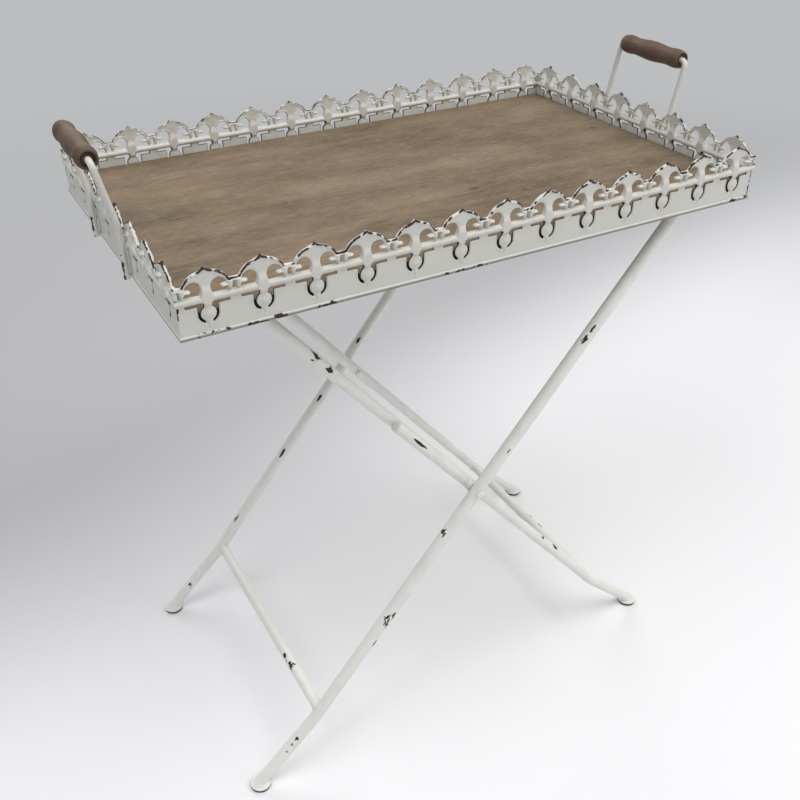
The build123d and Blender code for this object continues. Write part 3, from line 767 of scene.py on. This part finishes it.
def pierced_wall(length, margin, sizes):
    """One cast wall, in its own frame of along, outwards and up. A grid over the wall loses the cells whose
    middle is in an opening, and its front and back, each raised by the relief, are joined round every edge
    through two layers between them. Gives points, faces and their age."""
    count, pitch = arch_row(length, margin, sizes)
    line = np.linspace(-count * pitch / 2, count * pitch / 2, count * sizes.columns + 1)
    line = np.concatenate([[-length / 2], line, [length / 2]])
    heights = (sizes.hem / MM / 2, *BAND_HEIGHTS, WALL_HEIGHT / MM + GRID_SPARE)
    bands = [np.linspace(low, high, rows, endpoint=False)
             for low, high, rows in zip(heights, heights[1:], BAND_ROWS)]
    x, z = np.meshgrid(line, np.concatenate([*bands, heights[-1:]]))

    def from_arch(along):
        """Distance along the wall from the middle of the nearest arch."""
        middle = (count - 1) / 2
        nearest = np.clip(np.round(along / pitch + middle), 0, count - 1) - middle
        return np.abs(along - nearest * pitch)

    def edge(along, up):
        return metal_distance(from_arch(along), up, pitch)

    kept, x, z = snapped(x, z, edge, 0.62 * pitch / sizes.columns)
    across = from_arch(x)
    front = sizes.plate / MM / 2 + gallery_relief(across, z, pitch, sizes)
    back = -sizes.plate / MM / 2 - gallery_relief(across, z, pitch, sizes, inner=True)
    ends = np.zeros_like(x)
    ends[:, 0], ends[:, -1] = -1, 1
    depths = [front + (back - front) * share for share in (0.0, 0.3, 0.75, 1.0)]
    layers = [np.stack([x + ends * depth, depth, z], axis=-1).reshape(-1, 3) for depth in depths]
    faces = grid_faces(*x.shape).reshape(*kept.shape, 4)[kept]
    edges = np.concatenate([faces[:, [side, (side + 1) % 4]] for side in range(4)])
    total = x.size
    open_ones = ~np.isin(edges[:, 0] * total + edges[:, 1], edges[:, 1] * total + edges[:, 0])
    first, second = edges[open_ones].T
    strip = np.stack([second, first, first + total, second + total], axis=-1)
    strips = [strip + layer * total for layer in range(3)]
    faces = np.concatenate([faces, faces[:, ::-1] + 3 * total, *strips])
    used, faces = np.unique(faces, return_inverse=True)
    age_and_shade = wall_age(x, z, across, pitch, length)
    return np.concatenate(layers)[used], faces.reshape(-1, 4), age_and_shade[used]


def standing_wall(points, turns):
    """Stands a wall's own points on its side of the tray, by quarter turns from the front."""
    cosine, sine = round(math.cos(turns * math.pi / 2)), round(math.sin(turns * math.pi / 2))
    along, out = np.array((cosine, sine, 0.0)), np.array((sine, -cosine, 0.0))
    reach = (HALF_LENGTH if turns % 2 else HALF_WIDTH) / MM
    placed = points[:, :1] * along + (points[:, 1:2] + reach) * out + points[:, 2:] * np.array(UPRIGHT)
    return placed * MM + np.array((0.0, 0.0, WALL_BASE))


def mitred_ring(height, stations, radii, sides=20):
    """A round bar round the tray with mitred corners. Each long or short side has stations in millimetres
    from its middle and a radius at each, and at a corner the circle lies in the mitre's plane."""
    turn = np.linspace(0, FULL_TURN, sides, endpoint=False)
    rings = []
    for quarter in range(4):
        places, thick = stations[quarter % 2][:, None], radii[quarter % 2][:, None]
        depth = thick * np.cos(turn)
        along = places + np.where(np.isclose(np.abs(places), places.max()), np.sign(places) * depth, 0)
        flat = np.stack([along, depth, height / MM + thick * np.sin(turn)], axis=-1)[:-1].reshape(-1, 3)
        rings.append(standing_wall(flat, quarter))
    points = np.concatenate(rings)
    return points, grid_faces(len(points) // sides, sides, ring_rows=True, ring_columns=True)


def wall_stations(length, margin, sizes, joint):
    """Stations along a wall, close together at the joints between arches, and a bar's bell at each joint."""
    count, pitch = arch_row(length, margin, sizes)
    seams = (np.arange(1, count) - count / 2) * pitch
    near = (seams[:, None] + np.array((-2.0, -1.2, -0.7, -0.35, 0.0, 0.35, 0.7, 1.2, 2.0))).ravel()
    ends = (-length / 2, length / 2)
    places = np.unique(np.concatenate([ends, near, seams + pitch / 3, seams - pitch / 3]))
    return places, joint * np.exp(-(np.abs(places[:, None] - seams).min(axis=1) / 0.55) ** 2)


def place_camera(scene):
    """Stands the camera where the picture was taken from."""
    camera = bpy.data.cameras.new("camera")
    camera.sensor_width = SENSOR
    camera.lens = LENS
    camera.clip_end = 100.0
    seat = bpy.data.objects.new("camera", camera)
    turned = Matrix((CAMERA_RIGHT, CAMERA_UP, -Vector(CAMERA_AHEAD))).transposed()
    seat.matrix_world = Matrix.Translation(CAMERA_PLACE) @ turned.to_4x4()
    scene.collection.objects.link(seat)
    scene.camera = seat


def lay_floor(scene, colours):
    """A wide pale floor, darkened towards the back by painted shade. Far out it fades into a glow as bright
    as the sky, which only the camera, reflections and light let through see."""
    reach = np.linspace(-FLOOR_REACH, FLOOR_REACH, FLOOR_LINES)
    x, y = np.meshgrid(reach, reach)
    points = np.stack([x, y, 0 * x], axis=-1).reshape(-1, 3)
    mesh = bpy.data.meshes.new("studio_floor")
    mesh.from_pydata(points.tolist(), [], grid_faces(FLOOR_LINES, FLOOR_LINES).tolist())
    finish = Finish("studio_floor")
    cloud = finish.noise(finish.place, 3.0)
    back = finish.vector("DOT_PRODUCT", finish.place, BACKWARDS, output="Value")
    # Painted shade: the floor's colour falls to 0.55 of itself towards the back
    far = finish.eased(back, DARKENS_FROM, DARKENS_TO)
    colour = finish.mixed(colours.floor, scaled(colours.floor, 0.55), far)
    mesh.materials.append(finish.finished(Base_Color=colour, Roughness=0.75 + cloud * 0.1))
    seen, mirrored, let_through = [finish.node("ShaderNodeLightPath", output=f"Is {ray} Ray")
                                   for ray in ("Camera", "Glossy", "Transmission")]
    share = finish.eased(finish.length(finish.place), FADES_FROM, FADES_TO)
    share = share * seen.larger(mirrored).larger(let_through)
    glow = finish.node("ShaderNodeEmission", None, {"Color": scaled(SKY_COLOUR, SKY_SEEN)})
    lit = Worked(finish, finish.shader.outputs[0])
    faded = finish.node("ShaderNodeMixShader", None, {0: share, 1: lit, 2: glow})
    finish.feed(finish.tree.nodes["Material Output"].inputs["Surface"], faded)
    floor = bpy.data.objects.new("studio_floor", mesh)
    scene.collection.objects.link(floor)


def hang_lamps(scene):
    """Soft square lamps, each turned to what it is aimed at."""
    for name, (place, aim, width, power, tint) in LAMPS.items():
        lamp = bpy.data.lights.new(name, "AREA")
        lamp.size = width
        lamp.energy = power
        lamp.color = tint
        holder = bpy.data.objects.new(name, lamp)
        turned = (Vector(aim) - Vector(place)).to_track_quat("-Z", "Y").to_matrix().to_4x4()
        holder.matrix_world = Matrix.Translation(place) @ turned
        scene.collection.objects.link(holder)


def light_sky(scene):
    """A plain sky, which looks brighter to the camera and to reflections than the light that it gives."""
    world = bpy.data.worlds.new("studio")
    world.use_nodes = True
    scene.world = world
    sky = Nodes(world.node_tree)
    seen, mirrored = [sky.node("ShaderNodeLightPath", output=f"Is {ray} Ray") for ray in ("Camera", "Glossy")]
    inputs = {"Factor": seen.larger(mirrored), "A": SKY_LIGHT, "B": SKY_SEEN}
    strength = sky.node("ShaderNodeMix", None, inputs, "Result")
    background = sky.tree.nodes["Background"]
    sky.feed(background.inputs["Color"], SKY_COLOUR)
    sky.feed(background.inputs["Strength"], strength)


class TABLE_OT_studio(bpy.types.Operator):
    """Camera, pale floor and soft lights"""
    bl_idname = "table.studio"
    bl_label = "Studio"

    def execute(self, context):
        scene = context.scene
        scene.view_settings.view_transform = "Standard"
        place_camera(scene)
        lay_floor(scene, scene.table_colours)
        hang_lamps(scene)
        light_sky(scene)
        return {"FINISHED"}


class TABLE_OT_gallery(bpy.types.Operator):
    """Four pierced cast walls with their relief"""
    bl_idname = "table.gallery"
    bl_label = "Pierced gallery"

    def execute(self, context):
        sizes = context.scene.table_gallery
        paint = flaked_paint("gallery_paint", context.scene.table_colours, 1.06, edge_share=0.385)
        for turns, side in enumerate(("front", "right", "back", "left")):
            points, faces, age_and_shade = pierced_wall(*wall_run(turns, sizes), sizes)
            surface = standing_wall(points, turns), faces
            add_piece(f"{side}_gallery_lace", surface, "tray", paint,
                      [f"{side}_gallery_wall"], age_and_shade, recalculate=False)
        return {"FINISHED"}


class TABLE_OT_rails(bpy.types.Operator):
    """Waist bar and rolled hem, each one round the whole tray"""
    bl_idname = "table.rails"
    bl_label = "Waist bar and hem"

    def execute(self, context):
        sizes = context.scene.table_gallery
        paint = flaked_paint("rail_paint", context.scene.table_colours, 1.08, marks=HEM_CHIPS)
        for name, diameter, height, joint, wear, underside_shade in (
            ("waist_bar", sizes.bar, sizes.bar_height, -0.22, 0.0, 0.0),
            ("rolled_hem", sizes.hem, sizes.hem / 2, 0.0, 0.35, 0.6),
        ):
            runs = [wall_stations(*wall_run(side, sizes), sizes, joint) for side in (0, 1)]
            stations, swellings = zip(*runs)
            surface = mitred_ring(height, stations, [diameter / MM / 2 + swelling for swelling in swellings])
            below = (WALL_BASE + height - surface[0][:, 2]) / (diameter / 2)
            # Painted shade on each bead's underside: patina blotches on bar and hem, and on the hem a
            # darkening towards iron
            shade = smooth_step(below, -0.55, 0.05)
            age_and_shade = np.stack([np.full(len(below), wear), underside_shade * shade, shade], axis=-1)
            add_piece(name, surface, "tray", paint, age_and_shade=age_and_shade)
        return {"FINISHED"}


class TABLE_OT_board(bpy.types.Operator):
    """Finish of the wooden floor, the strips under it and their screws"""
    bl_idname = "table.board"
    bl_label = "Wooden floor"

    def execute(self, context):
        colours = context.scene.table_colours
        paint_nodes(["wood_board"], streaked_board(colours))
        strips = [f"{side}_board_ledge" for side in ("front", "back", "left", "right")]
        under = flaked_paint("under_paint", colours, 1.06)
        paint_nodes([*strips, "left_spread_stop", "right_spread_stop"], under)
        zinc = gritty("zinc_screw", 700.0, colours.zinc_dark, colours.zinc_pale, 0.3, 0.6, 1.0)
        paint_nodes(["board_screws"], zinc)
        return {"FINISHED"}


class TABLE_OT_handles(bpy.types.Operator):
    """Turned grips on their wires"""
    bl_idname = "table.handles"
    bl_label = "Handles"

    def execute(self, context):
        colours = context.scene.table_colours
        paint_nodes(["left_handle_wire", "right_handle_wire"],
                    flaked_paint("wire_paint", colours, 1.0, marks=WIRE_CHIPS))
        outline = self.profile(context.scene.table_grips)
        for side, tone, stain in (("left", "pale", colours.grip_pale), ("right", "dark", colours.grip_dark)):
            node = f"{side}_wooden_grip"
            low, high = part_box(node)
            add_piece(f"{side}_turned_grip", turned_surface((low + high) / 2, ACROSS, *outline, sides=56),
                      f"{side}_grip", turned_wood(f"{side}_grip_wood", stain), [node],
                      crease=GRIP_CREASE)
        return {"FINISHED"}

    @staticmethod
    def profile(sizes):
        """Half outline of a grip as a closed line: a barrel that falls by a cosine to a waist, a bead that
        rises and falls by cosines, a rounded lip, a ringed dish and the bore."""
        half = sizes.length / 2
        along = np.linspace(0, LIP_SHARE, 48)
        waist = sizes.waist / 2
        barrel = waist + (sizes.barrel - sizes.waist) / 4 * (1 + np.cos(np.pi * along / WAIST_SHARE))
        past_waist = (along - WAIST_SHARE) / (BEAD_SHARE - WAIST_SHARE)
        bead = waist + (sizes.bead - sizes.waist) / 4 * (1 - np.cos(np.pi * past_waist))
        past_bead = np.clip(along - BEAD_SHARE, 0, None) / (LIP_SHARE - BEAD_SHARE)
        end = sizes.bead / 2 - END_FALL * past_bead ** 2
        away = np.where(along < WAIST_SHARE, barrel, np.where(along < BEAD_SHARE, bead, end))
        turn = np.linspace(0.0, math.pi, 12)
        lip = (1 - LIP_SHARE) * half / 2
        dish = np.array((away[-1] - 2 * lip - DISH_STEP, *DISH_RADII, sizes.bore / 2))
        right_along = np.concatenate([along, LIP_SHARE + (1 - LIP_SHARE) * np.sin(turn), DISH_SHARES]) * half
        right_away = np.concatenate([away, away[-1] - lip + lip * np.cos(turn), dish])
        return (np.concatenate([right_along, -right_along[::-1][:-1], right_along[:1]]),
                np.concatenate([right_away, right_away[::-1][:-1], right_away[:1]]))


class TABLE_OT_stand(bpy.types.Operator):
    """Finish of the tubes of the folding stand"""
    bl_idname = "table.stand"
    bl_label = "Tube stand"

    def execute(self, context):
        colours = context.scene.table_colours
        for name, lean, marks, nodes in (
            ("rising_leg_paint", -LEG_LEAN, RISING_CHIPS, ("front_outer_leg", "back_outer_leg")),
            ("falling_leg_paint", LEG_LEAN, FALLING_CHIPS,
             ("front_inner_lower_leg", "back_inner_lower_leg", "front_inner_upper_leg",
              "back_inner_upper_leg")),
            ("cross_tube_paint", 0.0, CROSS_CHIPS,
             ("outer_top_tube", "inner_top_tube", "outer_crossbar", "inner_crossbar", "front_pivot_spacer",
              "back_pivot_spacer")),
        ):
            paint_nodes(nodes, flaked_paint(name, colours, 1.09, lean, marks, fresh=colours.lit_tube_cream))
        return {"FINISHED"}


class TABLE_OT_fittings(bpy.types.Operator):
    """Feet, rivet heads, tube end plugs and weld beads"""
    bl_idname = "table.fittings"
    bl_label = "Feet and fittings"

    def execute(self, context):
        colours = context.scene.table_colours
        self.paint = flaked_paint("fitting_paint", colours, 1.04, fresh=colours.lit_tube_cream)
        self.rubber = gritty("black_rubber", 500.0, colours.rubber_dark, colours.rubber_pale, 0.7, 0.85, 0.0)
        welds = {"outer_frame": [], "inner_frame": []}
        for depth in ("front", "back"):
            self.add_foot(f"{depth}_left", "outer_frame", f"{depth}_outer_leg", RISING, welds)
            self.add_foot(f"{depth}_right", "inner_frame", f"{depth}_inner_lower_leg", FALLING, welds)
            self.add_plug(depth)
            self.add_rivet(depth)
        for bar, leg, body, direction in (
            ("outer_crossbar", "outer_leg", "outer_frame", RISING),
            ("inner_crossbar", "inner_lower_leg", "inner_frame", FALLING),
        ):
            welds[body] += [self.bar_weld(bar, f"{depth}_{leg}", direction, inwards)
                            for depth, inwards in (("front", 1), ("back", -1))]
        for body, beads in welds.items():
            self.add(f"{body}_welds", joined(beads), body)
        return {"FINISHED"}

    def add(self, name, surface, body, replaced=()):
        """Adds a painted fitting."""
        add_piece(name, surface, body, self.paint, replaced, crease=FITTING_CREASE)

    def add_foot(self, place, body, leg, direction, welds):
        """A pressed disc on its rubber pad, and the bead round the leg that stands on it: the ellipse in
        which a leaning tube meets the disc."""
        low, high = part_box(f"{place}_foot_disc")
        disc = self.rounded_disc(low, high, FOOT_EDGE_SHARE)
        self.add(f"{place}_pressed_foot", disc, body, [f"{place}_foot_disc"])
        radius = self.tube(leg)[1]
        turn = np.linspace(0, FULL_TURN, 40, endpoint=False)
        ring = np.stack([radius / direction[2] * np.cos(turn), radius * np.sin(turn), 0 * turn], axis=-1)
        top = np.array(((low.x + high.x) / 2, (low.y + high.y) / 2, high.z))
        welds[body].append(bead_along(top + ring, FOOT_WELD))
        pad = self.rounded_disc(*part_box(f"{place}_foot_pad"), PAD_EDGE_SHARE)
        add_piece(f"{place}_rubber_foot", pad, body, self.rubber, [f"{place}_foot_pad"],
                  crease=FITTING_CREASE)

    def add_plug(self, depth):
        """A cap on the cut end of a lower leg, rounded by a power of a cosine."""
        leg = f"{depth}_inner_lower_leg"
        low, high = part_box(leg)
        middle, radius = self.tube(leg)
        end = (low.x + radius * FALLING[2], middle, high.z + radius * FALLING[0])
        turn = np.linspace(0, math.pi / 2, 8)
        along = np.concatenate([[-PLUG_SEAT, -PLUG_SEAT], PLUG_DOME * np.sin(turn)])
        away = np.concatenate([[0.0, radius - PLUG_GAP], (radius + PLUG_LIP) * np.cos(turn) ** 0.6])
        self.add(f"{depth}_tube_plug", turned_surface(end, FALLING, along, away, 32), "inner_frame")

    def add_rivet(self, depth):
        """A rivet with a domed head at either end: quarter ellipses joined by its core."""
        low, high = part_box(f"{depth}_pivot_rivet")
        face = (high.y - low.y) / 2 - RIVET_DOME
        turn = np.linspace(0, math.pi / 2, 8)
        along = np.concatenate([face + RIVET_DOME * np.cos(turn), [face]])
        away = np.concatenate([(high.x - low.x) / 2 * np.sin(turn), [RIVET_CORE]])
        outline = np.concatenate([along, -along[::-1]]), np.concatenate([away, away[::-1]])
        rivet = turned_surface((low + high) / 2, ACROSS, *outline, 32)
        self.add(f"{depth}_domed_rivet", rivet, "outer_frame", [f"{depth}_pivot_rivet"])

    def bar_weld(self, bar, leg, direction, inwards):
        """The bead round a crossbar where it meets a leg: a circle pushed onto the leg's round side."""
        low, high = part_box(bar)
        thin = (high.z - low.z) / 2
        middle, radius = self.tube(leg)
        turn = np.linspace(0, FULL_TURN, 40, endpoint=False)
        lean, normal = np.array(direction), np.array((direction[2], 0.0, -direction[0]))
        circle = np.cos(turn)[:, None] * lean + np.sin(turn)[:, None] * normal
        curve = np.array((low + high) / 2) + thin * circle
        curve[:, 1] = middle + inwards * np.sqrt(np.clip(radius ** 2 - (thin * np.sin(turn)) ** 2, 0, None))
        return bead_along(curve, BAR_WELD)

    @staticmethod
    def tube(leg):
        """Middle of a leg's depth, and its radius."""
        low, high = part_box(leg)
        return (low.y + high.y) / 2, (high.y - low.y) / 2

    @staticmethod
    def rounded_disc(low, high, share):
        """A disc in a box, its two edges rounded by a share of its thickness."""
        radius, half = (high.x - low.x) / 2, (high.z - low.z) / 2
        edge = 2 * half * share
        turn = np.linspace(0, math.pi / 2, 7)
        along = half - edge + edge * np.sin(turn)
        away = radius - edge + edge * np.cos(turn)
        along = np.concatenate([[-half], -along[::-1], along, [half]])
        away = np.concatenate([[0.0], away[::-1], away, [0.0]])
        return turned_surface((low + high) / 2, UPRIGHT, along, away)


class VIEW3D_PT_tray_table(bpy.types.Panel):
    """Makes the tray table's pieces one by one"""
    bl_label = "Tray Table"
    bl_idname = "VIEW3D_PT_tray_table"
    bl_space_type = "VIEW_3D"
    bl_region_type = "UI"
    bl_category = "Tray Table"

    def draw(self, context):
        for sizes in (context.scene.table_gallery, context.scene.table_grips, context.scene.table_colours):
            column = self.layout.column(align=True)
            for name in sizes.__annotations__:
                column.prop(sizes, name)
        for step in STEPS:
            self.layout.operator(step.bl_idname)


STEPS = (TABLE_OT_studio, TABLE_OT_gallery, TABLE_OT_rails, TABLE_OT_board, TABLE_OT_handles, TABLE_OT_stand,
         TABLE_OT_fittings)
CLASSES = (GallerySizes, GripSizes, FinishColours, *STEPS, VIEW3D_PT_tray_table)


def register():
    for kind in CLASSES:
        bpy.utils.register_class(kind)
    bpy.types.Scene.table_gallery = PointerProperty(type=GallerySizes)
    bpy.types.Scene.table_grips = PointerProperty(type=GripSizes)
    bpy.types.Scene.table_colours = PointerProperty(type=FinishColours)


def unregister():
    del bpy.types.Scene.table_colours
    del bpy.types.Scene.table_grips
    del bpy.types.Scene.table_gallery
    for kind in reversed(CLASSES):
        bpy.utils.unregister_class(kind)


def main():
    """Registers the add-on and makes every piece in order."""
    register()
    bpy.ops.table.studio()
    bpy.ops.table.gallery()
    bpy.ops.table.rails()
    bpy.ops.table.board()
    bpy.ops.table.handles()
    bpy.ops.table.stand()
    bpy.ops.table.fittings()


if __name__ == "__main__":
    main()
